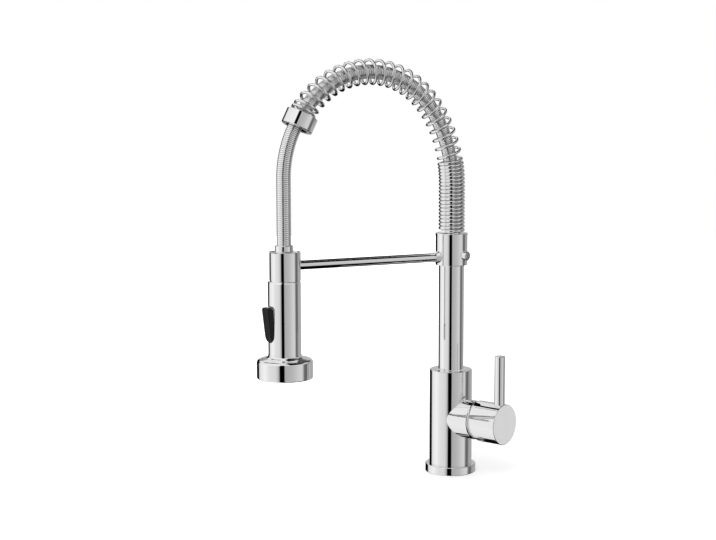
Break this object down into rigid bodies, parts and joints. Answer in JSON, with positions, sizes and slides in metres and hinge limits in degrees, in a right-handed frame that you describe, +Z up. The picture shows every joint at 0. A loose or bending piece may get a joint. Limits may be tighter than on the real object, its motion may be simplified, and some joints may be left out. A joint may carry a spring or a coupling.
{
  "type": "pull-out kitchen mixer tap",
  "caption": "Single-lever kitchen mixer tap with a swivelling riser, a coil spring over an arched ribbed hose, and a pull-down hand spray held in a clip on a support arm.",
  "frame": {"origin": "centre of the base ring on the deck, at the mouth of the shank socket", "axes": "+Z up along the riser, -X along the support arm towards the hand spray, +Y away from the mixing handle"},
  "size_m": [0.2493, 0.0937, 0.4071],
  "materials": {
    "chrome": "polished chrome plating",
    "hose_steel": "ribbed steel hose",
    "steel": "turned stainless steel",
    "brass": "turned brass",
    "ceramic": "ground ceramic disc",
    "white_plastic": "moulded plastic",
    "grey_plastic": "moulded plastic",
    "black_plastic": "satin black moulding",
    "seal_rubber": "black seal rubber"
  },
  "bodies": {
    "tap_body": {"base_ring": "chrome", "deck_seal": "seal_rubber", "mixer_body": "chrome", "cartridge_base": "white_plastic", "cartridge_seals": "seal_rubber", "cartridge_shell": "white_plastic", "fixed_disc": "ceramic", "cartridge_nut": "brass", "dome_cover": "chrome", "swivel_washer": "white_plastic", "swivel_bush": "white_plastic"},
    "mixing_core": {"stem_carrier": "white_plastic", "pivot_pin": "steel"},
    "handle": {"cartridge_stem": "steel", "handle_cap": "chrome", "lever_pin": "chrome"},
    "ceramic_slide": {"moving_disc": "ceramic"},
    "spout": {"riser_foot": "brass", "riser_seals": "seal_rubber", "riser_tube": "chrome", "arm_collar": "chrome", "clamp_screw": "chrome", "support_arm": "chrome", "holder_clip": "chrome", "spring_seat": "steel", "hose_adaptor": "brass", "tower_spring": "chrome", "spring_cup": "chrome", "spray_hose": "hose_steel"},
    "hose_end": {"hose_ferrule": "chrome"},
    "spray_head": {"spray_body": "chrome", "check_valve": "white_plastic", "valve_block": "white_plastic", "trigger_pin": "steel", "spray_bell": "chrome", "nozzle_plate": "grey_plastic", "spray_nozzles": "seal_rubber", "aerator": "grey_plastic", "face_seal": "seal_rubber"},
    "trigger": {"spray_trigger": "black_plastic"},
    "diverter": {"diverter_plunger": "steel"}
  },
  "joints": [
    {"name": "temperature", "type": "hinge", "parent": "tap_body", "child": "mixing_core", "pos_m": [0, 0, 0.0552], "axis": [0.4067, -0.9135, 0], "range_deg": [-45, 45]},
    {"name": "flow", "type": "hinge", "parent": "mixing_core", "child": "handle", "pos_m": [0.01424, -0.03197, 0.0552], "axis": [0.9135, 0.4067, 0], "range_deg": [0, 18]},
    {"name": "disc_slide", "type": "slide", "parent": "mixing_core", "child": "ceramic_slide", "axis": [0, 0, 1], "range_m": [0, 0.00572]},
    {"name": "spout_swivel", "type": "hinge", "parent": "tap_body", "child": "spout", "pos_m": [0, 0, 0.0897], "axis": [0, 0, 1], "continuous": true},
    {"name": "spray_pull", "type": "slide", "parent": "spout", "child": "hose_end", "axis": [0, 0, -1], "range_m": [0, 0.06], "deforming": ["spray_hose"]},
    {"name": "spray_turn", "type": "hinge", "parent": "hose_end", "child": "spray_head", "pos_m": [-0.1785, 0, 0.224], "axis": [0, 0, 1], "continuous": true},
    {"name": "trigger_press", "type": "hinge", "parent": "spray_head", "child": "trigger", "pos_m": [-0.1913, 0, 0.15], "axis": [0, 1, 0], "range_deg": [0, 8], "stiffness_Nm_per_rad": 0.08, "springref_deg": -8.59},
    {"name": "diverter_slide", "type": "slide", "parent": "spray_head", "child": "diverter", "axis": [1, 0, 0], "range_m": [0, 0.0026]}
  ],
  "couplings": [
    {"joint": "disc_slide", "follows": "flow", "m_per_rad": 0.0182},
    {"joint": "diverter_slide", "follows": "trigger_press", "m_per_rad": 0.018}
  ]
}
